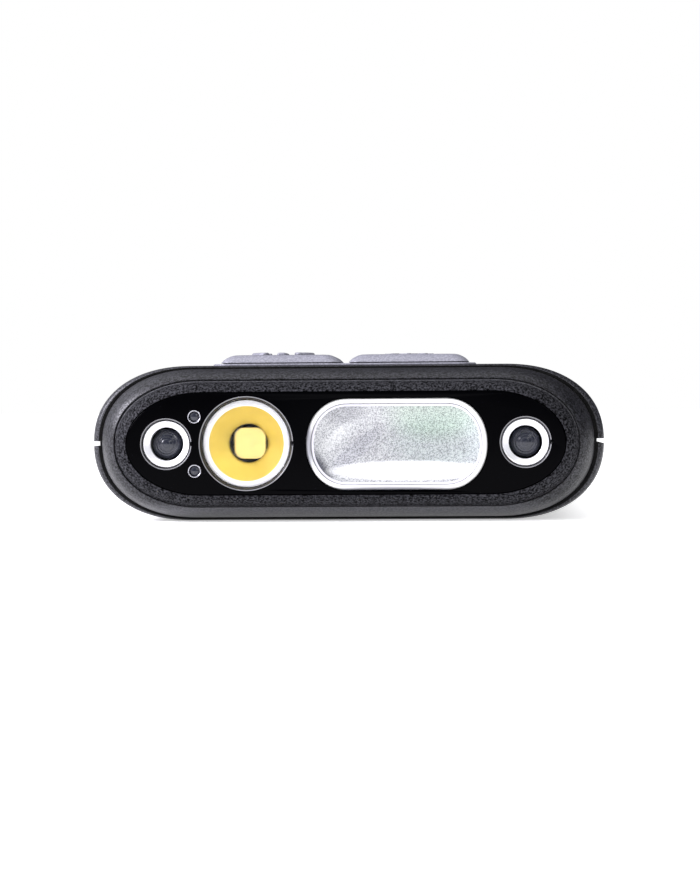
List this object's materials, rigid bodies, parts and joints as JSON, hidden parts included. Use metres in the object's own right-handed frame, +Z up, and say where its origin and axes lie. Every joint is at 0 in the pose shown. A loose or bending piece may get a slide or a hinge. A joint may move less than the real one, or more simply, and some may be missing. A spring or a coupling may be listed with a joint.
{
  "type": "flat rechargeable work light",
  "caption": "Flat hand-held work light with a spot reflector, a frosted flood panel and domed signal lamps in one end, push buttons on top and a covered charging port.",
  "frame": {"origin": "middle of the underside of the housing, on the floor plane", "axes": "+X to the right seen from the light end, +Y from the light face to the charging end, +Z up towards the buttons"},
  "size_m": [0.0824, 0.112, 0.0273],
  "materials": {
    "shell": "fine grain, dark grey-violet",
    "bezel": "fine grain, slightly lighter than the shells",
    "seal": "matt",
    "cover": "matt, moulded",
    "face": "polished black",
    "steel": "plain",
    "window": "clear",
    "reflector": "bright, warm tint from the lamp",
    "black_plastic": "fine",
    "ceramic": "ceramic white",
    "phosphor": "yellow phosphor",
    "lamp_board": "white coated",
    "frosted": "frosted, pearly",
    "white_plastic": "white",
    "dark_lens": "smoked clear epoxy",
    "mirror_cup": "bright",
    "circuit_board": "green solder mask",
    "heat_sink": "extruded",
    "ribbon": "amber film",
    "button": "grey-violet silicone feel",
    "plunger": "grey",
    "pouch": "foil pouch",
    "lead": "silicone wire"
  },
  "bodies": {
    "housing": {"upper_shell": "shell", "lower_shell": "shell", "shell_seal": "seal", "front_bezel": "bezel", "lens_frame": "bezel", "bezel_seal": "seal", "face_plate": "face", "rear_cap": "shell", "rear_seal": "seal", "port_cover_pin": "steel", "spot_window": "window", "spot_reflector": "reflector", "spot_gasket": "black_plastic", "spot_led": "ceramic", "spot_phosphor": "phosphor", "spot_board": "lamp_board", "flood_lens": "frosted", "flood_tray": "white_plastic", "flood_board": "lamp_board", "flood_leds": "phosphor", "lamp_left": "dark_lens", "lamp_right": "dark_lens", "lamp_cup_left": "mirror_cup", "lamp_cup_right": "mirror_cup", "sensor_emitter": "dark_lens", "sensor_receiver": "dark_lens", "lamp_board_left": "circuit_board", "lamp_board_right": "circuit_board", "optics_carrier": "black_plastic", "heat_sink": "heat_sink", "carrier_screws": "steel", "front_flex": "ribbon", "button_frame": "button", "button_seals": "seal", "switch_bodies": "black_plastic", "main_board": "circuit_board", "board_parts": "black_plastic", "board_screws": "steel", "usb_shell": "steel", "usb_tongue": "black_plastic", "battery_pack": "pouch", "battery_foam": "seal", "battery_leads": "lead", "battery_plug": "white_plastic", "shell_screws": "steel", "rear_screws": "steel"},
    "power_key": {"power_button": "button", "power_clip": "steel"},
    "mode_key": {"mode_button": "button", "mode_clip": "steel"},
    "power_tact": {"power_plunger": "plunger"},
    "mode_tact": {"mode_plunger": "plunger"},
    "port_flap": {"port_cover": "cover"}
  },
  "joints": [
    {"name": "power_press", "type": "slide", "parent": "housing", "child": "power_key", "axis": [0, 0, -1], "range_m": [0, 0.0005], "stiffness_N_per_m": 1600, "springref_m": -0.0004},
    {"name": "mode_press", "type": "slide", "parent": "housing", "child": "mode_key", "axis": [0, 0, -1], "range_m": [0, 0.0005], "stiffness_N_per_m": 1600, "springref_m": -0.0004},
    {"name": "power_tact_travel", "type": "slide", "parent": "housing", "child": "power_tact", "axis": [0, 0, -1], "range_m": [0, 0.0005]},
    {"name": "mode_tact_travel", "type": "slide", "parent": "housing", "child": "mode_tact", "axis": [0, 0, -1], "range_m": [0, 0.0005]},
    {"name": "port_cover_swing", "type": "hinge", "parent": "housing", "child": "port_flap", "pos_m": [0, 0.0549, 0.01797], "axis": [1, 0, 0], "range_deg": [0, 100]}
  ],
  "couplings": [
    {"joint": "power_tact_travel", "follows": "power_press", "ratio": 1},
    {"joint": "mode_tact_travel", "follows": "mode_press", "ratio": 1}
  ]
}
